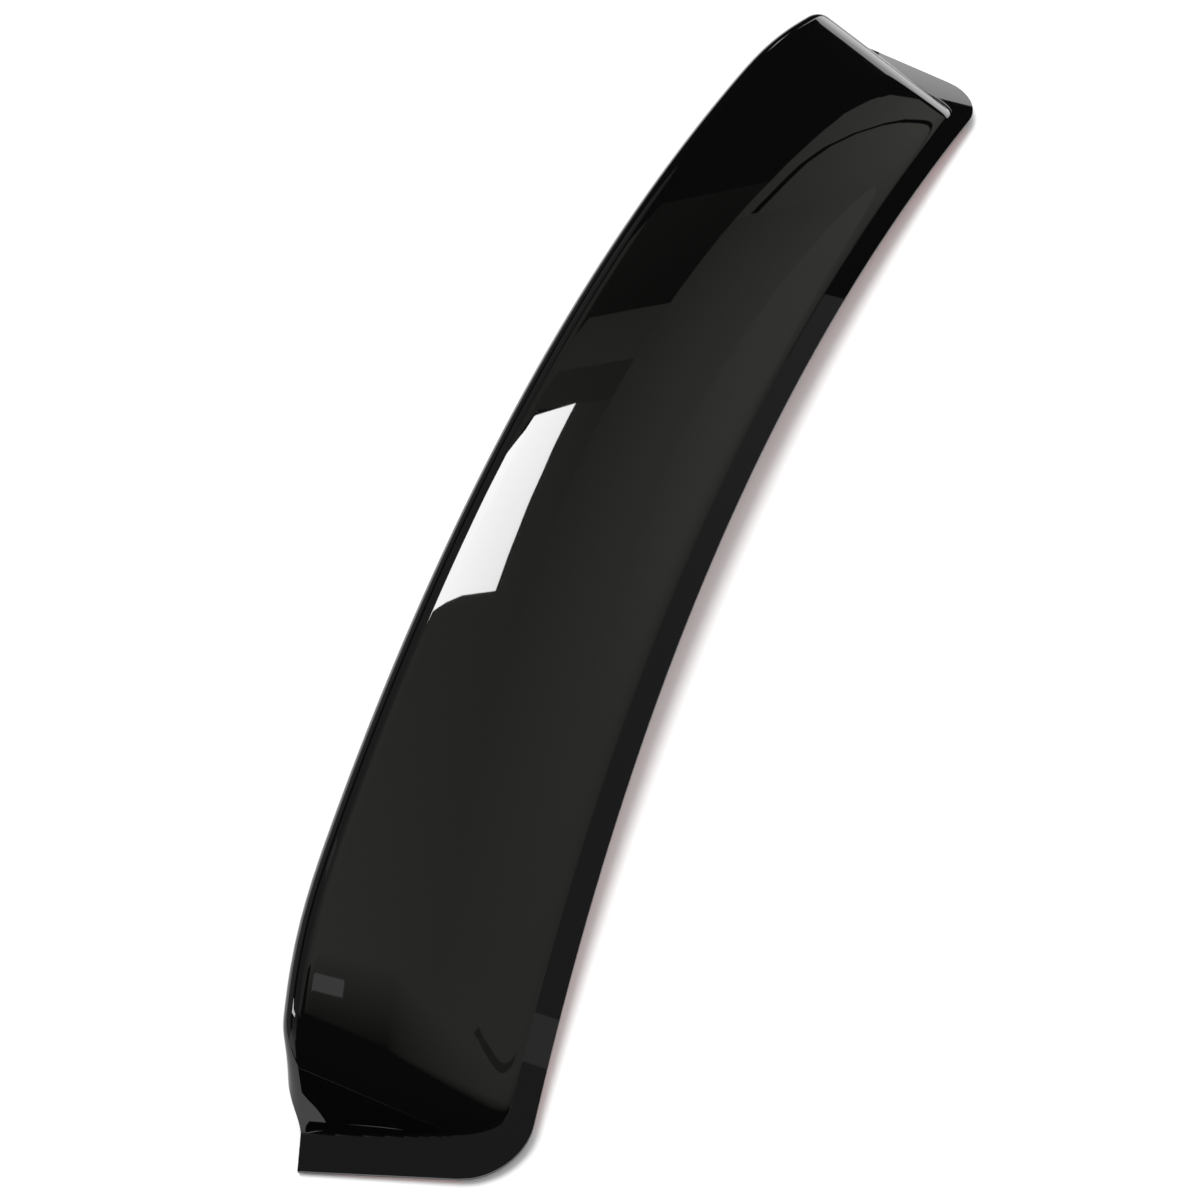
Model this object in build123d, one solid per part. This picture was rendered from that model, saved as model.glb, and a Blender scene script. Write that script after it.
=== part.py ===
from build123d import *
import os
from math import cos, pi, radians, sin, sqrt, tan

# A rear-window roof spoiler formed from one plastic sheet, with bonding tape under its flange.
# X runs across the car, Y points forward, Z is up. Millimetres and degrees.

# Formed sheet
SHEET = 3.0                # wall thickness

# Flange, seen from above
HALF_LENGTH = 560.0        # front edge, from its middle to the point where the end edge would meet it
FRONT_BOW = 49.0           # how far the ends of the front edge lie ahead of its middle
CROWN_RISE = 21.0          # how far the middle of the flange stands above its front corners
END_FLARE = 17.0           # end edges splay out towards the rear
END_LENGTH = 137.0         # end edge, from the front corner point to the rear corner
CORNER_RADIUS = 38.0       # rounded front corners
FRONT_FLANGE = 17.0        # front edge to the foot of the ramp
END_FLANGE = 25.0          # end edge to the foot of the end wall

# Raised ramp and end walls
RAMP_DEPTH = 154.0         # front edge to the start of the rolled lip, at the middle
RAMP_BOW = 43.0            # how far the ends of that line lie ahead of its middle
RAMP_RISE = 77.0           # height of the ramp above the flange where the lip starts, at the middle
END_DROP = 10.0            # how much lower that height is at the ends
WALL_ANGLE = 70.0          # slope of the end walls
FOOT_BLEND = 5.0           # height over which flange and ramp flow together
CREST_BLEND = 72.0         # height over which ramp and end wall roll together
REAR_TURN = 20.0           # angle of the rear edge across each end wall and end flange
REAR_BLEND = 20.0          # softness of the turn from the trailing edge to that angle

# Rolled trailing lip
LIP_RADIUS = 9.0
LIP_TURN = 112.0           # how far the sheet is rolled over, from the slope of the ramp
LIP_FADE = 40.0            # the roll opens out over this height above the foot of the end wall
LIP_STUB = 2.5             # width that is left of the lip on the flat end flange

# Bonding tape and its release liner, under the flange
TAPE_WIDTH = 11.0
TAPE_THICKNESS = 1.2
TAPE_INSET = 1.0           # tape edge inside the flange edge
BOND_GAP = 0.08            # glue line between the flange and the tape
LINER_THICKNESS = 0.25
LINER_MARGIN = 1.5         # how far the liner stands out past the tape's outer edge

# Where the formed sheet is sectioned before it is lofted
RAMP_SECTION_COUNT = 7     # from the middle to the roll at an end
ROLL_SECTION_COUNT = 16    # over the crest and down the end wall
FOOT_SECTION_COUNT = 16    # through the bend at the foot of the end wall
FLANGE_SECTION_COUNT = 8   # over the end flange
ROLL_LEAD = 10.0           # sections draw closer this far ahead of the roll
ROLL_EASE = 1.5            # how strongly they draw closer down the wall
FAN_POWER = 5              # how late the sections turn from fore-and-aft to the splay of the ends
FLANGE_ROWS = 4            # points of a section, from the front edge to the bend
BEND_ZONE = 9.0            # half width of the bend at the foot of the ramp
BEND_ROWS = 12
RAMP_ROWS = 7
LIP_ROWS = 8
SETTLE_COUNT = 40          # passes that settle where a section meets the rear edge

FLARE = radians(END_FLARE)
CORNER = Vector(HALF_LENGTH, FRONT_BOW)
END_EDGE = Vector(sin(FLARE), -cos(FLARE))
OUTWARD = Vector(cos(FLARE), sin(FLARE))
REAR_CORNER = CORNER + END_EDGE * END_LENGTH
FOOT_LINE = CORNER.dot(OUTWARD) - END_FLANGE
WALL_SLOPE = tan(radians(WALL_ANGLE))


def soft_min(a, b, blend):
    """The lower of two values, rounded off where they differ by less than the blend."""
    near = max(blend - abs(a - b), 0.0) / blend
    return min(a, b) - blend * near**3 / 6


def soft_max(a, b, blend):
    """The higher of two values, filled in where they differ by less than the blend."""
    return -soft_min(-a, -b, blend)


def share(x):
    """0 at the middle of the spoiler and 1 at its front corners, by the square of the distance."""
    return (x / HALF_LENGTH) ** 2


def crown(x):
    """Height of the flange's upper face."""
    return CROWN_RISE * (1 - share(x))


def front_edge(x):
    return FRONT_BOW * share(x)


def foot(x):
    return front_edge(x) - FRONT_FLANGE


def lip_line(x):
    return RAMP_BOW * share(x) - RAMP_DEPTH


def rear_edge(x):
    """The bowed trailing line, which turns forward across each end wall to the rear corner."""
    across_end = REAR_CORNER.Y + tan(radians(REAR_TURN)) * (abs(x) - REAR_CORNER.X)
    return soft_max(lip_line(x), across_end, REAR_BLEND)


def raised(x, y):
    """Height above the flange: a ramp that climbs to the rear, cut off by a steep wall at each end."""
    slope = (RAMP_RISE - END_DROP * share(x)) / (foot(x) - lip_line(x))
    ramp = slope * (foot(x) - y)
    wall = WALL_SLOPE * (FOOT_LINE - Vector(abs(x), y).dot(OUTWARD))
    return soft_max(0.0, soft_min(ramp, wall, CREST_BLEND), FOOT_BLEND)


def outer_face(x, y):
    return Vector(x, y, crown(x) + raised(x, y))


def outer_normal(x, y):
    step = 0.05
    across = outer_face(x + step, y) - outer_face(x - step, y)
    forward = outer_face(x, y + step) - outer_face(x, y - step)
    return across.cross(forward).normalized()


def spread(start, end, steps):
    """Even values from start up to, but not including, end."""
    return [start + (end - start) * i / steps for i in range(steps)]


def stations():
    """Section positions along the front edge, close together where the sheet bends."""
    wall_foot = (FOOT_LINE - FRONT_BOW * sin(FLARE)) / cos(FLARE)
    roll = wall_foot - (RAMP_RISE + CREST_BLEND) / WALL_SLOPE / cos(FLARE) - ROLL_LEAD
    wall_end = wall_foot - FOOT_BLEND
    flange = wall_foot + 2 * FOOT_BLEND
    side = spread(0, roll, RAMP_SECTION_COUNT)
    side += [roll + (wall_end - roll) * (1 - (1 - t) ** ROLL_EASE) for t in spread(0, 1, ROLL_SECTION_COUNT)]
    side += spread(wall_end, flange, FOOT_SECTION_COUNT)
    side += [flange + (HALF_LENGTH - flange) * sin(pi * t / 2) for t in spread(0, 1, FLANGE_SECTION_COUNT)]
    side += [HALF_LENGTH]
    return [-x for x in side[:0:-1]] + side


def rolled_lip(x, y):
    """Points of the lip's outer face and their normals, rolled down from the rear edge at x."""
    step = 0.5
    root = outer_face(x, y)
    normal = outer_normal(x, y)
    along = outer_face(x + step, rear_edge(x + step)) - outer_face(x - step, rear_edge(x - step))
    forward = normal.cross(along).normalized()
    height = min(raised(x, y) / LIP_FADE, 1.0)
    fade = height * height * (3 - 2 * height)
    width = LIP_STUB + (LIP_RADIUS * radians(LIP_TURN) - LIP_STUB) * fade
    points = []
    for i in range(1, LIP_ROWS + 1):
        part = i / LIP_ROWS
        turn = max(radians(LIP_TURN) * fade * part, 1e-4)
        radius = width * part / turn
        point = root - forward * (radius * sin(turn)) - normal * (radius * (1 - cos(turn)))
        points.append((point, normal * cos(turn) - forward * sin(turn)))
    return points


def trimmed_front(station):
    """Where the trimmed front edge lies: on the bow, set back round the corner at the ends."""
    inside = CORNER_RADIUS - min(HALF_LENGTH - abs(station), CORNER_RADIUS)
    return front_edge(station) - CORNER_RADIUS + sqrt(CORNER_RADIUS**2 - inside**2)


def sheet_section(station):
    """Outer and inner points of the sheet, from the front edge to the end of the rolled lip."""
    fan = tan(FLARE) * (station / HALF_LENGTH) ** FAN_POWER

    def plan(y):
        return station + fan * (front_edge(station) - y)

    rear = rear_edge(station)
    for _ in range(SETTLE_COUNT):
        rear = (rear + rear_edge(plan(rear))) / 2
    front = trimmed_front(station)
    bend = front - FRONT_FLANGE
    rows = spread(front, bend + BEND_ZONE, FLANGE_ROWS)
    rows += spread(bend + BEND_ZONE, bend - BEND_ZONE, BEND_ROWS)
    rows += spread(bend - BEND_ZONE, rear, RAMP_ROWS) + [rear]
    points = [(outer_face(plan(y), y), outer_normal(plan(y), y)) for y in rows]
    points += rolled_lip(plan(rear), rear)
    return [point for point, _ in points], [point - normal * SHEET for point, normal in points]


def row_spacing(sections, first, last):
    """One spacing for every section, from the mean distance between neighbouring rows."""
    total = [0.0]
    for row in range(first, last):
        total.append(total[-1] + sum((outer[row + 1] - outer[row]).length for outer, _ in sections))
    return [t / total[-1] for t in total]


def formed_sheet():
    """The trimmed sheet: sections lofted in three lengths, then closed at both ends."""
    sections = [sheet_section(station) for station in stations()]
    lip_end = len(sections[0][0]) - 1
    lip_start = lip_end - LIP_ROWS
    spans = [
        (first, last, row_spacing(sections, first, last))
        for first, last in ((0, lip_start), (lip_start, lip_end))
    ]

    def forward(points):
        return [Edge.make_spline(points[a : b + 1], parameters=spacing) for a, b, spacing in spans]

    def backward(points):
        edges = []
        for a, b, spacing in reversed(spans):
            reverse = [1 - t for t in reversed(spacing)]
            edges.append(Edge.make_spline(points[a : b + 1][::-1], parameters=reverse))
        return edges

    wires = []
    for outer, inner in sections:
        rim = Edge.make_line(outer[-1], inner[-1])
        front = Edge.make_line(inner[0], outer[0])
        wires.append(Wire([*forward(outer), rim, *backward(inner), front]))
    middle = len(sections) // 2
    seams = [0, middle - RAMP_SECTION_COUNT, middle + RAMP_SECTION_COUNT, len(sections) - 1]
    faces = []
    for start, stop in zip(seams[:-1], seams[1:]):
        faces += Shell.make_loft(wires[start : stop + 1]).faces()
    for outer, inner in (sections[0], sections[-1]):
        for top, bottom in zip(forward(outer), forward(inner)):
            faces.append(Face.make_surface_from_curves(top, bottom))
    return Solid(Shell(Face.sew_faces(faces)[0]))


def crown_layer(top, bottom):
    """A layer that follows the crown of the flange, between two depths below its upper face."""
    reach = REAR_CORNER.X + END_FLANGE

    def arc(depth):
        end = crown(reach) - depth
        return ThreePointArc((-reach, end), (0, CROWN_RISE - depth), (reach, end))

    upper = arc(top)
    lower = arc(bottom)
    outline = make_face([upper, Line(upper @ 1, lower @ 1), lower, Line(lower @ 0, upper @ 0)])
    return extrude(Plane.XZ * outline, 2 * RAMP_DEPTH, both=True)


def front_strip(outer, inner):
    """Plan of a strip along the front edge, between two distances in from it, clear of the corners."""
    end = HALF_LENGTH - CORNER_RADIUS
    front = ThreePointArc((-end, front_edge(end) - outer), (0, -outer), (end, front_edge(end) - outer))
    back = ThreePointArc((-end, front_edge(end) - inner), (0, -inner), (end, front_edge(end) - inner))
    return make_face([front, Line(front @ 1, back @ 1), back, Line(back @ 0, front @ 0)])


def end_strip(outer, inner):
    """Plan of a strip along the right end edge, between two distances in from it."""
    start = CORNER + END_EDGE * CORNER_RADIUS
    stop = CORNER + END_EDGE * (END_LENGTH - TAPE_INSET)
    near = OUTWARD * outer
    far = OUTWARD * inner
    return make_face(Polyline(start - near, stop - near, stop - far, start - far, close=True))


def bonding_strips():
    """Tape and liner for each edge of the flange, by name."""
    inner = TAPE_INSET + TAPE_WIDTH
    tape_top = SHEET + BOND_GAP
    tape_bottom = tape_top + TAPE_THICKNESS
    tape_layer = crown_layer(tape_top, tape_bottom)
    liner_layer = crown_layer(tape_bottom, tape_bottom + LINER_THICKNESS)
    deep = 2 * (CROWN_RISE + RAMP_RISE)
    plans = {"front": front_strip, "right_end": end_strip}
    plans["left_end"] = lambda outer, inner: mirror(end_strip(outer, inner), about=Plane.YZ)
    strips = {}
    for name, plan in plans.items():
        tape_column = extrude(plan(TAPE_INSET, inner), deep, both=True)
        liner_column = extrude(plan(TAPE_INSET - LINER_MARGIN, inner), deep, both=True)
        strips[name + "_tape"] = tape_layer & tape_column
        strips[name + "_liner"] = liner_layer & liner_column
    return strips


spoiler_shell = formed_sheet()
parts = {"spoiler_shell": spoiler_shell, **bonding_strips()}

# The origin is at the middle of the footprint, on the surface that the liners rest on.
boxes = [part.bounding_box() for part in parts.values()]
front = max(box.max.Y for box in boxes)
rear = min(box.min.Y for box in boxes)
to_origin = Pos(0, -(front + rear) / 2, -min(box.min.Z for box in boxes))

os.makedirs("parts", exist_ok=True)
for name, part in parts.items():
    export_step(to_origin * part, "parts/" + name + ".step")
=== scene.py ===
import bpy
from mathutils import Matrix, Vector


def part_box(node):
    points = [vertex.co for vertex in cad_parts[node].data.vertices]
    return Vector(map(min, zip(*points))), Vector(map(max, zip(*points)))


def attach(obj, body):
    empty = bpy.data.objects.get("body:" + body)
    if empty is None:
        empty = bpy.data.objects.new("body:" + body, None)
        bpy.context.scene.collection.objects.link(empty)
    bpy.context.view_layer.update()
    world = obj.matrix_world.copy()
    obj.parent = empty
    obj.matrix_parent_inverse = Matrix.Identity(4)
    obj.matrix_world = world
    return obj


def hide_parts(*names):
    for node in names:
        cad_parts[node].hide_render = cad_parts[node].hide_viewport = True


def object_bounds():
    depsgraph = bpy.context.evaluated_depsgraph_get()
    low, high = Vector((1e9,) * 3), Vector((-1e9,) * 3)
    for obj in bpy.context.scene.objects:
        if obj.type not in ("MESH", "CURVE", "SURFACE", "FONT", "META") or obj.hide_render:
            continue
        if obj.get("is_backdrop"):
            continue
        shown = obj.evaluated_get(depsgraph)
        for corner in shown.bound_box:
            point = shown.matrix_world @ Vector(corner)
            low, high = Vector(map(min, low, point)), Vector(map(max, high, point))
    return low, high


bl_info = {
    "name": "Roof Spoiler Looks",
    "version": (1, 0, 0),
    "blender": (4, 5, 0),
    "location": "View3D > Sidebar > Spoiler",
    "description": "Builds a roof spoiler's smooth formed sheet, its finishes and a studio",
    "category": "Object",
}

import bpy
import numpy as np
from bpy.props import FloatProperty, IntProperty, PointerProperty, StringProperty
from mathutils import Matrix, Vector

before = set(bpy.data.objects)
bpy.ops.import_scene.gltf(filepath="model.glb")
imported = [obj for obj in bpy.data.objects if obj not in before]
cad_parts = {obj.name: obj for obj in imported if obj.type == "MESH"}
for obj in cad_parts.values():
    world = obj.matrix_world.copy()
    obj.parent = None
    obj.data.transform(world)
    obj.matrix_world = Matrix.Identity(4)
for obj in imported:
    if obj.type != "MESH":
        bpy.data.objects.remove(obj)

# Steps in metres over which the slopes of the face and of its rear edge are taken.
FACE_STEP = 5e-5
EDGE_STEP = 5e-4
# Least turn of the lip in radians, where its roll has opened out into a flat strip.
LEAST_TURN = 1e-4
# Rounds in which the slanted columns settle on the rear edge and on the foot of the ramp.
REAR_ROUNDS = 40
FOOT_ROUNDS = 20
# Bends steeper than the first angle show as a crease, and edges steeper than the second are rounded.
CREASE_ANGLE = np.radians(17.0)
TRIM_ANGLE = np.radians(55.0)
# Points along the front film, along an end film and along each side of a studio card.
FRONT_FILM_POINTS = 81
END_FILM_POINTS = 21
CARD_POINTS = 9

# Upright cards on the wall that the ramp mirrors: left, right, bottom and top in metres, the strength
# at each corner from the lower left round, and how far the left and right sides lean by the top.
WALL_CARDS = {
    "wall_foot_left": (-2.03, -1.00, 0.70, 1.018, 0.60, 0.93, 0.46, 0.62, 0.0, 0.0),
    "wall_foot_right": (-1.00, -0.25, 0.70, 1.018, 0.93, 0.40, 0.45, 0.46, 0.0, 0.0),
    "wall_far": (-2.03, -1.80, 1.018, 1.095, 0.70, 0.47, 0.40, 0.58, -0.125, 0.0),
    "wall_far_upper": (-2.155, -1.80, 1.095, 1.165, 0.58, 0.40, 0.34, 0.47, -0.08, 0.0),
    "wall_far_top": (-2.235, -1.80, 1.165, 1.188, 0.47, 0.34, 0.32, 0.44, 0.007, 0.0),
    "wall_far_crest": (-2.228, -1.80, 1.188, 1.203, 0.44, 0.32, 0.31, 0.42, 0.043, 0.0),
    "wall_middle_left": (-1.80, -1.00, 1.018, 1.203, 0.47, 0.46, 0.32, 0.26, 0.0, 0.0),
    "wall_middle_right": (-1.00, -0.25, 1.018, 1.203, 0.46, 0.45, 0.42, 0.32, 0.0, 0.0),
    "wall_right": (-0.885, -0.25, 1.203, 1.66, 0.33, 0.42, 0.54, 0.45, 0.0, 0.0),
    "corner_start": (-0.25, -0.10, 0.95, 1.31, 0.45, 0.46, 0.43, 0.43, 0.0, -0.149),
    "corner_fade": (-0.10, -0.02, 0.95, 1.31, 0.46, 0.38, 0.21, 0.43, -0.149, -0.165),
    "corner_end": (-0.02, 0.45, 0.95, 1.31, 0.38, 0.02, 0.02, 0.21, -0.165, -0.585),
    "upper_fade": (-0.25, -0.185, 1.31, 1.66, 0.43, 0.21, 0.22, 0.52, 0.0, 0.0),
    "upper_end": (-0.185, -0.135, 1.31, 1.66, 0.21, 0.02, 0.02, 0.22, 0.0, 0.0),
    "far_dim": (-1.93, -1.55, 1.203, 1.44, 0.05, 0.03, 0.07, 0.07, 0.0, 0.0),
    "step_light": (-1.55, -1.40, 1.203, 1.44, 0.25, 0.28, 0.33, 0.25, 0.0, 0.0),
    "step_dark": (-1.40, -1.30, 1.203, 1.44, 0.17, 0.20, 0.25, 0.25, 0.0, 0.0),
    "under_softbox": (-1.30, -0.885, 1.203, 1.272, 0.23, 0.33, 0.36, 0.28, 0.0, 0.0),
    "over_softbox": (-1.93, -0.885, 1.44, 2.60, 0.25, 0.35, 0.35, 0.25, 0.0, 0.0),
    "over_right": (-0.885, -0.25, 1.66, 2.60, 0.45, 0.45, 0.35, 0.35, 0.0, 0.0),
}
# Bright cards in front of that wall, written in the same way.
WALL_LIGHTS = {
    "softbox": (-1.300, -0.885, 1.272, 1.348, 18.5, 18.5, 20.5, 20.5, 0.018, 0.005),
    "softbox_shoulder": (-1.282, -0.880, 1.348, 1.386, 20.5, 20.5, 21.5, 21.5, 0.017, 0.015),
    "softbox_top": (-1.265, -0.865, 1.386, 1.750, 21.5, 21.5, 22.0, 22.0, -0.045, -0.120),
    "window": (-0.217, -0.191, 1.437, 1.552, 1.0, 1.0, 1.0, 1.0, 0.0, 0.0),
}
# Thin dark strips in front of that wall: width, strength, then the run as x and z.
DARK_STRIPS = {
    "curved_line": (
        0.011,
        0.0,
        (-1.800, 1.173),
        (-1.970, 1.170),
        (-2.025, 1.160),
        (-2.058, 1.138),
        (-2.070, 1.108),
        (-2.064, 1.085),
        (-2.040, 1.053),
        (-2.020, 1.033),
    ),
    "corner_mark": (
        0.012,
        0.2,
        (-0.188, 1.095),
        (-0.172, 1.076),
        (-0.150, 1.047),
        (-0.141, 1.021),
        (-0.153, 1.000),
        (-0.194, 0.991),
    ),
}
# Cards elsewhere in the room: four corners, then the strength at each.
ROOM_CARDS = {
    "ceiling": (
        (-3.33, -1.6, 2.6),
        (0.40, -1.6, 2.6),
        (0.40, 0.1, 2.6),
        (-3.33, 0.1, 2.6),
        (0.26, 0.19, 0.19, 0.26),
    ),
    "ceiling_spot": (
        (-0.53, -1.0, 2.59),
        (-0.41, -1.0, 2.59),
        (-0.41, -0.1, 2.59),
        (-0.53, -0.1, 2.59),
        (0.5, 0.5, 0.5, 0.5),
    ),
    "ceiling_right": (
        (0.40, -1.6, 2.6),
        (3.50, -1.6, 2.6),
        (3.50, 0.1, 2.6),
        (0.40, 0.1, 2.6),
        (0.19, 0.50, 0.50, 0.19),
    ),
    "ceiling_front": (
        (-3.33, 0.1, 2.6),
        (0.10, 0.1, 2.6),
        (0.10, 0.89, 2.6),
        (-3.33, 0.89, 2.6),
        (0.15, 0.30, 0.35, 0.15),
    ),
    "overhead": (
        (0.50, -1.9, 2.05),
        (0.66, -1.9, 2.05),
        (0.66, -0.65, 2.05),
        (0.50, -0.65, 2.05),
        (12.0, 12.0, 12.0, 12.0),
    ),
    "bright_end_low": (
        (-3.5, 0.30, 0.0),
        (-3.5, 1.42, 0.0),
        (-3.5, 1.42, 1.2),
        (-3.5, 0.30, 1.2),
        (3.8, 3.8, 5.1, 5.1),
    ),
    "bright_end_side": (
        (-3.5, -0.58, 1.55),
        (-3.5, -0.32, 1.55),
        (-3.5, -0.32, 1.741),
        (-3.5, -0.58, 1.73),
        (5.2, 5.0, 3.05, 2.85),
    ),
    "bright_end": (
        (-3.5, 0.30, 1.2),
        (-3.5, 0.90, 1.2),
        (-3.5, 0.90, 1.79),
        (-3.5, 0.30, 1.766),
        (5.1, 5.1, 3.4, 2.7),
    ),
    "bright_end_tall": (
        (-3.5, 0.90, 1.2),
        (-3.5, 1.42, 1.2),
        (-3.5, 1.42, 1.94),
        (-3.5, 0.90, 1.79),
        (5.1, 5.1, 3.4, 3.4),
    ),
    "back_wall": (
        (-4.0, -3.0, 0.0),
        (4.0, -3.0, 0.0),
        (4.0, -3.0, 2.6),
        (-4.0, -3.0, 2.6),
        (0.12, 0.45, 0.45, 0.12),
    ),
    "right_wall": (
        (3.5, -3.0, 0.3),
        (3.5, -0.35, 0.3),
        (3.5, -0.35, 5.0),
        (3.5, -3.0, 5.0),
        (1.2, 0.8, 0.35, 0.5),
    ),
    "black_flag": (
        (0.606, -0.01, 0.001),
        (8.0, -0.01, 0.001),
        (8.0, 6.0, 0.001),
        (0.606, 6.0, 0.001),
        (0.0, 0.0, 0.0, 0.0),
    ),
}


def length(name, default, description):
    """A property that holds a length in metres."""
    return FloatProperty(name=name, default=default, description=description, unit="LENGTH", precision=5)


def angle(name, degrees, description):
    """A property that holds an angle, with its default in degrees."""
    default = np.radians(degrees)
    return FloatProperty(name=name, default=default, description=description, subtype="ANGLE")


def number(name, default, description):
    """A property that holds a plain number."""
    return FloatProperty(name=name, default=default, description=description)


def count(name, default, description):
    """A property that holds a whole number."""
    return IntProperty(name=name, default=default, description=description)


def hex_colour(name, default, description):
    """A property that holds an sRGB colour as a hex string."""
    return StringProperty(name=name, default=default, description=description)


class SpoilerForm(bpy.types.PropertyGroup):
    """Sizes of the formed sheet and of the films, most of them as in the CAD part."""

    sheet: length("Sheet", 0.003, "Wall thickness")
    half_length: length("Half length", 0.560, "Front edge, from its middle to the corner point")
    front_bow: length("Front bow", 0.049, "How far the ends of the front edge lie ahead of its middle")
    crown_rise: length("Crown rise", 0.021, "Height of the middle of the flange above its front corners")
    end_flare: angle("End flare", 17.0, "Splay of the end edges towards the rear")
    end_length: length("End length", 0.137, "End edge, from the front corner point to the rear corner")
    corner_radius: length("Corner radius", 0.038, "Rounding of the front corners")
    front_flange: length("Front flange", 0.017, "Front edge to the foot of the ramp")
    end_flange: length("End flange", 0.025, "End edge to the foot of the end wall")
    ramp_depth: length("Ramp depth", 0.154, "Front edge to the start of the lip, at the middle")
    ramp_bow: length("Ramp bow", 0.043, "How far the ends of that line lie ahead of its middle")
    ramp_rise: length("Ramp rise", 0.077, "Height of the ramp where the lip starts, at the middle")
    end_drop: length("End drop", 0.010, "How much lower that height is at the ends")
    wall_angle: angle("Wall angle", 70.0, "Slope of the end walls")
    crease: length("Crease", 0.000001, "Half width of the crease at the ramp's foot, too small to see")
    ease: length("Ease", 0.0007, "How far the ramp is lowered by its hollow above the crease")
    ease_length: length("Ease length", 0.004, "Length over which that hollow dies out")
    wall_foot: length("Wall foot", 0.005, "Height over which flange and end wall flow together")
    crest_blend: length("Crest blend", 0.072, "Height over which ramp and end wall roll together")
    rear_turn: angle("Rear turn", 20.0, "Angle of the rear edge across each end wall")
    rear_blend: length("Rear blend", 0.020, "Softness of the turn from the trailing edge to that angle")
    lip_radius: length("Lip radius", 0.009, "Radius of the rolled lip")
    lip_turn: angle("Lip turn", 112.0, "How far the sheet is rolled over")
    lip_fade: length("Lip fade", 0.055, "Height over which the roll opens out down the end wall")
    lip_stub: length("Lip stub", 0.0025, "Width of the lip on the end flange")
    edge_round: length("Edge round", 0.0005, "Rounding of the trimmed edges")
    film: length("Film", 0.00025, "Thickness of the liner")
    film_inset: length("Film inset", 0.0015, "Liner edge inside the flange edge")
    film_width: length("Film width", 0.0105, "Width of the liner")
    fan_power: number("Fan power", 5.0, "How late the columns turn to the end flare")
    end_zone: length("End zone", 0.080, "Part of each end with close columns")
    ramp_columns: count("Ramp columns", 40, "Columns from the middle to an end zone")
    wall_columns: count("Wall columns", 100, "Columns over each end zone")
    flange_rows: count("Flange rows", 8, "Rows over the flange")
    bend_zone: length("Bend zone", 0.0006, "Half width of the close rows at the foot of the ramp")
    bend_rows: count("Bend rows", 8, "Rows over that zone")
    ramp_rows: count("Ramp rows", 50, "Rows up the ramp")
    row_power: number("Row power", 1.7, "How closely those rows crowd at the crease")
    lip_rows: count("Lip rows", 20, "Rows round the lip")


class SpoilerFinish(bpy.types.PropertyGroup):
    """Colours and textures of the materials."""

    sheet_colour: hex_colour("Sheet", "#060606", "Black of the dyed plastic")
    sheet_roughness: number("Sheet roughness", 0.012, "Polish of the sheet's outer face")
    sheet_index: number("Refraction", 1.49, "Refractive index of acrylic")
    wave_size: length("Wave size", 0.08, "Width of the slow waves left by forming")
    wave_height: length("Wave height", 0.00003, "Height of those waves")
    reverse_colour: hex_colour("Reverse", "#0d0d0e", "Black of the sheet's inner face")
    reverse_roughness: number("Reverse roughness", 0.42, "Satin of the inner face")
    grain_size: length("Grain", 0.0012, "Size of the inner face's grain")
    grain_depth: length("Grain depth", 0.0001, "Depth of that grain")
    tape_colour: hex_colour("Tape", "#2a2a2c", "Dark grey acrylic foam")
    tape_roughness: number("Tape roughness", 0.85, "Dullness of the foam")
    cell_size: length("Foam cell", 0.0006, "Size of the foam's cells")
    cell_depth: length("Cell depth", 0.00015, "Depth of those cells")
    liner_colour: hex_colour("Liner", "#c4231d", "Red release film")
    liner_roughness: number("Liner roughness", 0.35, "Sheen of the film")
    floor_colour: hex_colour("Floor", "#f4f4f4", "Pale studio floor")
    floor_roughness: number("Floor roughness", 0.95, "Dullness of the floor")
    wall_cloth: hex_colour("Wall cloth", "#fffff5", "Tint of the studio wall")
    light_cloth: hex_colour("Light cloth", "#ffffff", "Tint of the bright cards")


class SpoilerStage(bpy.types.PropertyGroup):
    """Camera and studio."""

    azimuth: angle("Azimuth", 110.64, "Camera's bearing round the part")
    elevation: angle("Elevation", 50.395, "Camera's height angle")
    distance: length("Distance", 1.73883, "Camera to target")
    target_x: length("Target X", 0.12983, "Point the camera looks at")
    target_y: length("Target Y", 0.00095, "Point the camera looks at")
    target_z: length("Target Z", 0.03765, "Point the camera looks at")
    lens: number("Lens", 72.0, "Focal length in millimetres")
    sensor: number("Sensor", 36.0, "Side of the square sensor in millimetres")
    view_depth: length("View depth", 100.0, "How far the camera sees")
    floor_size: length("Floor size", 30.0, "Side of the floor")
    floor_gap: length("Floor gap", 0.0002, "Gap between the part and the floor")
    wall_y: length("Wall", 0.892, "Distance of the studio wall that the ramp mirrors")
    card_gap: length("Card gap", 0.003, "How far lights and dark strips stand off that wall")
    fill_light: number("Fill light", 0.72, "Strength of the soft light all round")
    dark_studio: number("Dark studio", 0.015, "What gloss mirrors past the cards")
    key_light: number("Key light", 2.30, "Strength of the lamp behind the trailing edge")
    key_side: number("Key side", -0.1, "Where that lamp stands sideways, as a share of its way back")
    key_height: angle("Key height", 70.0, "Height angle of that lamp")
    key_spread: angle("Key spread", 34.0, "Angle that the lamp fills, for soft shadows")


def linear(text):
    """A linear RGBA colour from an sRGB hex string."""
    srgb = np.array([int(text[i : i + 2], 16) for i in (1, 3, 5)]) / 255
    low = srgb / 12.92
    high = ((srgb + 0.055) / 1.055) ** 2.4
    return (*np.where(srgb <= 0.04045, low, high).tolist(), 1.0)


def node(tree, kind, inputs=None, links=None, **settings):
    """Adds a shader node, sets its sockets and links other nodes' outputs into it."""
    made = tree.nodes.new("ShaderNode" + kind)
    for key, value in settings.items():
        setattr(made, key, value)
    for key, value in (inputs or {}).items():
        made.inputs[key].default_value = value
    for key, socket in (links or {}).items():
        tree.links.new(socket, made.inputs[key])
    return made


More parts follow.
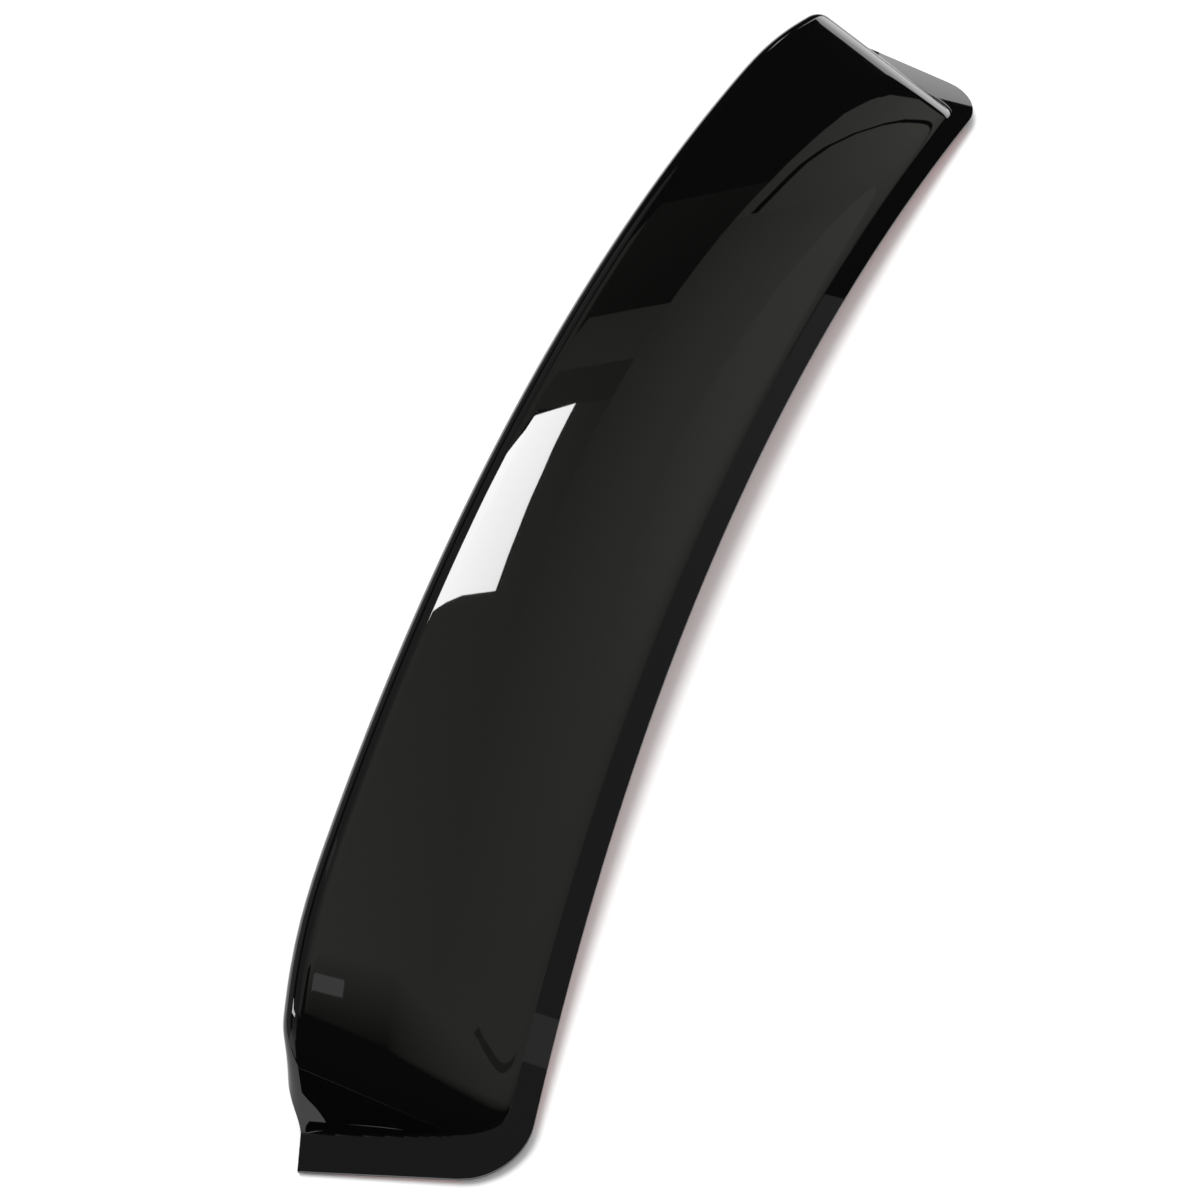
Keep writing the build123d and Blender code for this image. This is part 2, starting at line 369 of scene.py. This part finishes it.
def new_material(name):
    """An empty material with its node tree."""
    material = bpy.data.materials.new(name)
    material.use_nodes = True
    material.node_tree.nodes.clear()
    return material, material.node_tree


def gloss_sheet(finish):
    """Dyed acrylic-faced plastic sheet: black, polished, with faint slow waves from forming."""
    material, tree = new_material("gloss_black_plastic_sheet")
    place = node(tree, "TexCoord").outputs["Object"]
    waves = node(tree, "TexNoise", {"Scale": 1 / finish.wave_size, "Detail": 1.0}, {"Vector": place})
    bump = node(
        tree,
        "Bump",
        {"Strength": 1.0, "Distance": finish.wave_height},
        {"Height": waves.outputs["Fac"]},
    )
    surface = node(
        tree,
        "BsdfPrincipled",
        {
            "Base Color": linear(finish.sheet_colour),
            "Roughness": finish.sheet_roughness,
            "IOR": finish.sheet_index,
        },
        {"Normal": bump.outputs["Normal"]},
    )
    node(tree, "OutputMaterial", links={"Surface": surface.outputs["BSDF"]})
    return material


def satin_reverse(finish):
    """Reverse of the same sheet: satin black ABS with the grain of the forming tool.

    The grain is drawn a few times coarser than the real one, so that it shows.
    """
    material, tree = new_material("satin_black_abs_reverse")
    place = node(tree, "TexCoord").outputs["Object"]
    grain = node(tree, "TexNoise", {"Scale": 1 / finish.grain_size, "Detail": 3.0}, {"Vector": place})
    bump = node(
        tree,
        "Bump",
        {"Strength": 0.35, "Distance": finish.grain_depth},
        {"Height": grain.outputs["Fac"]},
    )
    surface = node(
        tree,
        "BsdfPrincipled",
        {
            "Base Color": linear(finish.reverse_colour),
            "Roughness": finish.reverse_roughness,
        },
        {"Normal": bump.outputs["Normal"]},
    )
    node(tree, "OutputMaterial", links={"Surface": surface.outputs["BSDF"]})
    return material


def foam_tape(finish):
    """Closed-cell acrylic foam tape: dull dark grey with fine cells at the cut edges.

    The cells are drawn a few times coarser than the real ones, so that they show.
    """
    material, tree = new_material("acrylic_foam_tape")
    place = node(tree, "TexCoord").outputs["Object"]
    cells = node(tree, "TexVoronoi", {"Scale": 1 / finish.cell_size}, {"Vector": place})
    bump = node(
        tree,
        "Bump",
        {"Strength": 0.4, "Distance": finish.cell_depth},
        {"Height": cells.outputs["Distance"]},
    )
    surface = node(
        tree,
        "BsdfPrincipled",
        {"Base Color": linear(finish.tape_colour), "Roughness": finish.tape_roughness},
        {"Normal": bump.outputs["Normal"]},
    )
    node(tree, "OutputMaterial", links={"Surface": surface.outputs["BSDF"]})
    return material


def liner_film(finish):
    """Red polyethylene release film: smooth, a little shiny, thin enough to glow at its edge."""
    material, tree = new_material("red_release_film")
    surface = node(
        tree,
        "BsdfPrincipled",
        {
            "Base Color": linear(finish.liner_colour),
            "Roughness": finish.liner_roughness,
            "Subsurface Weight": 0.15,
            "Subsurface Radius": (0.002, 0.0006, 0.0005),
        },
    )
    node(tree, "OutputMaterial", links={"Surface": surface.outputs["BSDF"]})
    return material


def floor_paint(finish):
    """Matt pale paint of the studio floor."""
    material, tree = new_material("matt_pale_floor_paint")
    surface = node(
        tree,
        "BsdfPrincipled",
        {
            "Base Color": linear(finish.floor_colour),
            "Roughness": finish.floor_roughness,
            "Specular IOR Level": 0.1,
        },
    )
    node(tree, "OutputMaterial", links={"Surface": surface.outputs["BSDF"]})
    return material


def card_cloth(name, colour):
    """Lit cloth of the studio cards, as bright at each point as the mesh says there."""
    material, tree = new_material(name)
    glow = node(tree, "Attribute", attribute_name="glow")
    light = node(tree, "Emission", {"Color": linear(colour)}, {"Strength": glow.outputs["Fac"]})
    node(tree, "OutputMaterial", links={"Surface": light.outputs["Emission"]})
    return material


def unit(vectors):
    """Vectors of the same directions with length one."""
    return vectors / np.linalg.norm(vectors, axis=-1, keepdims=True)


def soft_min(a, b, blend):
    """The lower of two arrays, rounded off where they differ by less than the blend."""
    near = np.maximum(blend - np.abs(a - b), 0.0) / blend
    return np.minimum(a, b) - blend * near**3 / 6


def soft_max(a, b, blend):
    """The higher of two arrays, filled in where they differ by less than the blend."""
    return -soft_min(-a, -b, blend)


class FormedSheet:
    """The sheet's outer face as a function of place, and grids of points on it and under its flange."""

    def __init__(self, form):
        """Works out the end lines in plan, and the shift that sets the skin in the CAD shell's box."""
        self.f = form
        self.outward = np.array([np.cos(form.end_flare), np.sin(form.end_flare)])
        self.end_edge = np.array([np.sin(form.end_flare), -np.cos(form.end_flare)])
        self.corner = np.array([form.half_length, form.front_bow])
        self.foot_line = self.outward @ self.corner - form.end_flange
        self.rear_corner = self.corner + self.end_edge * form.end_length
        self.shift = np.zeros(3)
        points = self.skin().reshape(-1, 3)
        low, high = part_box("spoiler_shell")
        self.shift[1] = (low.y + high.y - points[:, 1].min() - points[:, 1].max()) / 2
        self.shift[2] = high.z - points[:, 2].max()

    def share(self, x):
        """Square of the share of the half length."""
        return (x / self.f.half_length) ** 2

    def front_edge(self, x):
        """The front edge in plan: a parabola whose ends lie ahead of its middle."""
        return self.f.front_bow * self.share(x)

    def foot(self, x):
        """The foot of the ramp in plan: one flange width behind the front edge."""
        return self.front_edge(x) - self.f.front_flange

    def lip_line(self, x):
        """The start of the lip in plan: a parabola one ramp depth behind, with a bow of its own."""
        return self.f.ramp_bow * self.share(x) - self.f.ramp_depth

    def rear_edge(self, x):
        """The lip line, which rounds off into a straight slant across each end wall."""
        across_end = self.rear_corner[1] + np.tan(self.f.rear_turn) * (np.abs(x) - self.rear_corner[0])
        return soft_max(self.lip_line(x), across_end, self.f.rear_blend)

    def raised(self, x, y):
        """Height above the flange: the lower of a ramp and a steep end wall, rolled into each other.

        The ramp starts with a slight hollow that dies out exponentially. It meets the flange in a crisp
        crease, and the wall meets it in a softer bend.
        """
        f = self.f
        slope = (f.ramp_rise - f.end_drop * self.share(x)) / (self.foot(x) - self.lip_line(x))
        up = self.foot(x) - y
        hollow = 1 - np.exp(-np.maximum(up, 0.0) / f.ease_length) + np.minimum(up, 0.0) / f.ease_length
        ramp = slope * (up - f.ease * hollow)
        inside = self.foot_line - np.abs(x) * self.outward[0] - y * self.outward[1]
        wall = np.tan(f.wall_angle) * inside
        wall_part = 0.5 + 0.5 * np.clip((ramp - wall) / f.crest_blend, -1.0, 1.0)
        foot_blend = f.crease * slope * (1 - wall_part) + f.wall_foot * wall_part
        return soft_max(0.0, soft_min(ramp, wall, f.crest_blend), foot_blend)

    def point(self, x, y):
        """Points of the outer face: the crown of the flange and what is raised from it."""
        z = self.f.crown_rise * (1 - self.share(x)) + self.raised(x, y)
        return np.stack(np.broadcast_arrays(x, y, z), -1)

    def normal(self, x, y):
        """Unit normals: the cross product of the differences over a small step each way."""
        across = self.point(x + FACE_STEP, y) - self.point(x - FACE_STEP, y)
        forward = self.point(x, y + FACE_STEP) - self.point(x, y - FACE_STEP)
        return unit(np.cross(across, forward))

    def columns(self):
        """Column positions along the front edge, close together over the ends."""
        f = self.f
        start = f.half_length - f.end_zone
        ramp = np.linspace(0, start, f.ramp_columns, endpoint=False)
        side = np.concatenate([ramp, np.linspace(start, f.half_length, f.wall_columns)])
        return np.concatenate([-side[:0:-1], side])

    def rolled_lip(self, x, y):
        """Rows of the lip: an arc that leaves the face along its slope and turns down.

        Its turn and its width fade with a smooth step of the height, down to a flat stub at the ends.
        """
        f = self.f
        parts = np.linspace(0, 1, f.lip_rows)[1:, None]
        root = self.point(x, y)
        normal = self.normal(x, y)
        right = self.point(x + EDGE_STEP, self.rear_edge(x + EDGE_STEP))
        left = self.point(x - EDGE_STEP, self.rear_edge(x - EDGE_STEP))
        forward = unit(np.cross(normal, right - left))
        height = np.clip(self.raised(x, y) / f.lip_fade, 0.0, 1.0)
        fade = height * height * (3 - 2 * height)
        width = f.lip_stub + (f.lip_radius * f.lip_turn - f.lip_stub) * fade
        turn = np.maximum(f.lip_turn * fade * parts, LEAST_TURN)
        radius = width * parts / turn
        back = (radius * np.sin(turn))[..., None] * forward
        down = (radius * (1 - np.cos(turn)))[..., None] * normal
        return root - back - down

    def skin(self):
        """Points of the outer face, row by row from the front edge to the end of the lip.

        Columns run back from the front edge and slant outwards by a power of their share of the half
        length. Where a slanted column meets the rear edge and the foot of the ramp is found in rounds.
        """
        f = self.f
        column = self.columns()
        fan = np.tan(f.end_flare) * (column / f.half_length) ** f.fan_power
        inside = f.corner_radius - np.minimum(f.half_length - np.abs(column), f.corner_radius)
        start = self.front_edge(column)
        front = start - f.corner_radius + np.sqrt(f.corner_radius**2 - inside**2)
        rear = self.rear_edge(column)
        for _ in range(REAR_ROUNDS):
            rear = (rear + self.rear_edge(column + fan * (start - rear))) / 2
        foot = self.foot(column)
        for _ in range(FOOT_ROUNDS):
            foot = self.foot(column + fan * (start - foot))
        before = foot + front - start + f.bend_zone
        after = foot + front - start - f.bend_zone
        flange = np.linspace(0, 1, f.flange_rows, endpoint=False)[:, None]
        bend = np.linspace(0, 1, f.bend_rows, endpoint=False)[:, None]
        ramp = np.linspace(0, 1, f.ramp_rows)[:, None] ** f.row_power
        y = np.concatenate(
            [
                front + (before - front) * flange,
                before + (after - before) * bend,
                after + (rear - after) * ramp,
            ]
        )
        x = column + fan * (start - y)
        return np.concatenate([self.point(x, y), self.rolled_lip(x[-1], rear)]) + self.shift

    def film(self, x, y):
        """Points on the liner's upper face, which follows the crown under the tape."""
        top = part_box("front_liner")[1].z
        return np.stack([x, y + self.shift[1], top - self.f.crown_rise * self.share(x)], -1)

    def front_film(self):
        """A strip along the front edge, clear of the corners."""
        f = self.f
        x = np.linspace(-1, 1, FRONT_FILM_POINTS) * (f.half_length - f.corner_radius)
        inset = f.film_inset + f.film_width * np.array([[0.0], [1.0]])
        return self.film(np.broadcast_to(x, (2, len(x))), self.front_edge(x) - inset)

    def end_film(self, side):
        """A strip along one end edge, from the corner rounding to the rear."""
        f = self.f
        rear = f.end_length - f.film_inset
        along = np.linspace(f.corner_radius, rear, END_FILM_POINTS)[:, None]
        inset = f.film_inset + f.film_width * np.array([0.0, 1.0])[:, None, None]
        plan = self.corner + self.end_edge * along - self.outward * inset
        points = self.film(plan[..., 0], plan[..., 1])
        return points if side > 0 else (points * [-1, 1, 1])[:, ::-1]


def grid_mesh(name, points):
    """A mesh object from a grid of points, smooth but for its creases."""
    rows, columns = points.shape[:2]
    index = np.arange(rows * columns).reshape(rows, columns)
    quads = np.stack([index[:-1, :-1], index[1:, :-1], index[1:, 1:], index[:-1, 1:]], -1)
    mesh = bpy.data.meshes.new(name)
    mesh.from_pydata(points.reshape(-1, 3), [], quads.reshape(-1, 4))
    mesh.shade_smooth()
    mesh.set_sharp_from_angle(angle=CREASE_ANGLE)
    made = bpy.data.objects.new(name, mesh)
    bpy.context.scene.collection.objects.link(made)
    return made


def thicken(piece, thickness):
    """Gives a grid its thickness, under the face that was drawn."""
    thick = piece.modifiers.new("Thickness", "SOLIDIFY")
    thick.thickness = thickness
    thick.offset = -1.0
    thick.use_even_offset = True
    return thick


class SPOILER_OT_shell(bpy.types.Operator):
    """Build the smooth formed sheet in place of the CAD shell"""

    bl_idname = "spoiler.shell"
    bl_label = "Formed Sheet"

    def execute(self, context):
        form = context.scene.spoiler_form
        finish = context.scene.spoiler_finish
        sheet = grid_mesh("formed_sheet", FormedSheet(form).skin())
        sheet.data.materials.append(gloss_sheet(finish))
        sheet.data.materials.append(satin_reverse(finish))
        thicken(sheet, form.sheet).material_offset = 1
        edges = sheet.modifiers.new("Trimmed edges", "BEVEL")
        edges.width = form.edge_round
        edges.segments = 2
        edges.limit_method = "ANGLE"
        edges.angle_limit = TRIM_ANGLE
        edges.harden_normals = True
        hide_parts("spoiler_shell")
        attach(sheet, "root")
        return {"FINISHED"}


class SPOILER_OT_strips(bpy.types.Operator):
    """Give the tape strips their foam, and lay the release films under them"""

    bl_idname = "spoiler.strips"
    bl_label = "Tape and Liners"

    def execute(self, context):
        form = context.scene.spoiler_form
        finish = context.scene.spoiler_finish
        sheet = FormedSheet(form)
        foam = foam_tape(finish)
        red = liner_film(finish)
        films = {
            "front": sheet.front_film(),
            "right_end": sheet.end_film(1),
            "left_end": sheet.end_film(-1),
        }
        for place, points in films.items():
            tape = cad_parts[place + "_tape"]
            tape.data.materials.clear()
            tape.data.materials.append(foam)
            film = grid_mesh(place + "_film", points)
            film.data.materials.append(red)
            thicken(film, form.film)
            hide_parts(place + "_liner")
            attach(film, "root")
        return {"FINISHED"}


def studio_card(name, points, glow, cloth):
    """A card that only gloss sees, with its strength given at each point of a grid."""
    card = grid_mesh(name, points)
    layer = card.data.attributes.new("glow", "FLOAT", "POINT")
    layer.data.foreach_set("value", glow.ravel())
    card.data.materials.append(cloth)
    card.visible_camera = False
    card.visible_diffuse = False
    card.visible_shadow = False
    card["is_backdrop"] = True


def four_cornered(name, corners, glow, cloth):
    """A flat card: its points and its strength are blended between the corners by bilinear weights."""
    side = np.linspace(0, 1, CARD_POINTS)
    across, up = np.meshgrid(side, side)
    weights = np.stack(
        [
            (1 - across) * (1 - up),
            across * (1 - up),
            across * up,
            (1 - across) * up,
        ],
        -1,
    )
    studio_card(name, weights @ np.array(corners), weights @ np.array(glow), cloth)


class SPOILER_OT_stage(bpy.types.Operator):
    """Set up the floor, the studio light, the cards that the gloss mirrors and the camera"""

    bl_idname = "spoiler.stage"
    bl_label = "Studio"

    def execute(self, context):
        scene = context.scene
        stage = scene.spoiler_stage
        self.floor(scene, stage)
        self.world(scene, stage)
        self.key(scene, stage)
        self.cards(scene.spoiler_finish, stage)
        self.camera(scene, stage)
        scene.view_settings.view_transform = "Standard"
        return {"FINISHED"}

    def floor(self, scene, stage):
        """A square of floor just under the part."""
        half = stage.floor_size / 2
        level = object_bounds()[0][2] - stage.floor_gap
        ends = np.array([-half, half])
        x, y = np.meshgrid(ends, -ends)
        floor = grid_mesh("floor", np.stack([x, y, np.full_like(x, level)], -1))
        floor.data.materials.append(floor_paint(scene.spoiler_finish))
        floor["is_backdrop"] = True

    def world(self, scene, stage):
        """White behind the part, even light all round, and a dark room where only gloss looks."""
        world = bpy.data.worlds.new("studio")
        world.use_nodes = True
        tree = world.node_tree
        tree.nodes.clear()
        plain = (1.0, 1.0, 1.0, 1.0)
        white = node(tree, "Background", {"Color": plain, "Strength": 1.0})
        fill = node(tree, "Background", {"Color": plain, "Strength": stage.fill_light})
        dark = node(tree, "Background", {"Color": plain, "Strength": stage.dark_studio})
        path = node(tree, "LightPath")
        gloss = {0: path.outputs["Is Glossy Ray"], 1: fill.outputs[0], 2: dark.outputs[0]}
        lit = node(tree, "MixShader", links=gloss)
        view = {0: path.outputs["Is Camera Ray"], 1: lit.outputs[0], 2: white.outputs[0]}
        seen = node(tree, "MixShader", links=view)
        node(tree, "OutputWorld", links={"Surface": seen.outputs[0]})
        scene.world = world

    def key(self, scene, stage):
        """A broad lamp high behind the trailing edge, so that the shadow falls past the front edge."""
        data = bpy.data.lights.new("key", "SUN")
        data.energy = stage.key_light
        data.angle = stage.key_spread
        lamp = bpy.data.objects.new("key", data)
        towards = Vector((stage.key_side, -1.0, np.tan(stage.key_height)))
        lamp.rotation_euler = towards.to_track_quat("Z", "Y").to_euler()
        lamp.visible_glossy = False
        scene.collection.objects.link(lamp)

    def cards(self, finish, stage):
        """What the gloss mirrors: a lit wall with a softbox, and the cards in the rest of the room.

        A dark strip is its run, moved half its width to each side.
        """
        grey = card_cloth("lit_wall_cloth", finish.wall_cloth)
        white = card_cloth("lit_white_cloth", finish.light_cloth)
        front = stage.wall_y - stage.card_gap
        for cards, cloth, y in ((WALL_CARDS, grey, stage.wall_y), (WALL_LIGHTS, white, front)):
            for name, (left, right, low, high, *glow, lean_left, lean_right) in cards.items():
                corners = [
                    (left, y, low),
                    (right, y, low),
                    (right + lean_right, y, high),
                    (left + lean_left, y, high),
                ]
                four_cornered(name, corners, glow, cloth)
        for name, (*corners, glow) in ROOM_CARDS.items():
            four_cornered(name, corners, glow, white)
        for name, (width, glow, *run) in DARK_STRIPS.items():
            path = np.array(run)
            along = unit(np.gradient(path, axis=0))
            side = along[:, ::-1] * [-1, 1] * width / 2
            strip = np.stack([path - side, path + side])
            flat = np.full(strip.shape[:2], 1.0)
            points = np.stack([strip[..., 0], flat * front, strip[..., 1]], -1)
            studio_card(name, points, flat * glow, grey)

    def camera(self, scene, stage):
        """The camera on its bearing and height angle, turned to the target."""
        back = Vector(
            (
                np.sin(stage.azimuth) * np.cos(stage.elevation),
                -np.cos(stage.azimuth) * np.cos(stage.elevation),
                np.sin(stage.elevation),
            )
        )
        target = Vector((stage.target_x, stage.target_y, stage.target_z))
        data = bpy.data.cameras.new("camera")
        data.sensor_width = stage.sensor
        data.lens = stage.lens
        data.clip_end = stage.view_depth
        camera = bpy.data.objects.new("camera", data)
        right = Vector((0, 0, 1)).cross(back).normalized()
        turn = Matrix((right, back.cross(right), back)).transposed().to_4x4()
        camera.matrix_world = Matrix.Translation(target + back * stage.distance) @ turn
        scene.collection.objects.link(camera)
        scene.camera = camera


class SPOILER_PT_panel(bpy.types.Panel):
    """Sizes, finishes and studio of the spoiler"""

    bl_idname = "SPOILER_PT_panel"
    bl_label = "Roof Spoiler"
    bl_space_type = "VIEW_3D"
    bl_region_type = "UI"
    bl_category = "Spoiler"

    def draw(self, context):
        layout = self.layout
        scene = context.scene
        for operator, group in (
            (SPOILER_OT_shell, scene.spoiler_form),
            (SPOILER_OT_strips, scene.spoiler_finish),
            (SPOILER_OT_stage, scene.spoiler_stage),
        ):
            box = layout.box()
            box.operator(operator.bl_idname)
            for key in group.__annotations__:
                box.prop(group, key)


CLASSES = (
    SpoilerForm,
    SpoilerFinish,
    SpoilerStage,
    SPOILER_OT_shell,
    SPOILER_OT_strips,
    SPOILER_OT_stage,
    SPOILER_PT_panel,
)


def register():
    for cls in CLASSES:
        bpy.utils.register_class(cls)
    bpy.types.Scene.spoiler_form = PointerProperty(type=SpoilerForm)
    bpy.types.Scene.spoiler_finish = PointerProperty(type=SpoilerFinish)
    bpy.types.Scene.spoiler_stage = PointerProperty(type=SpoilerStage)


def unregister():
    del bpy.types.Scene.spoiler_stage
    del bpy.types.Scene.spoiler_finish
    del bpy.types.Scene.spoiler_form
    for cls in reversed(CLASSES):
        bpy.utils.unregister_class(cls)


def main():
    """Registers the tools and builds the pieces and the studio."""
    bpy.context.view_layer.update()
    register()
    bpy.ops.spoiler.shell()
    bpy.ops.spoiler.strips()
    bpy.ops.spoiler.stage()


if __name__ == "__main__":
    main()
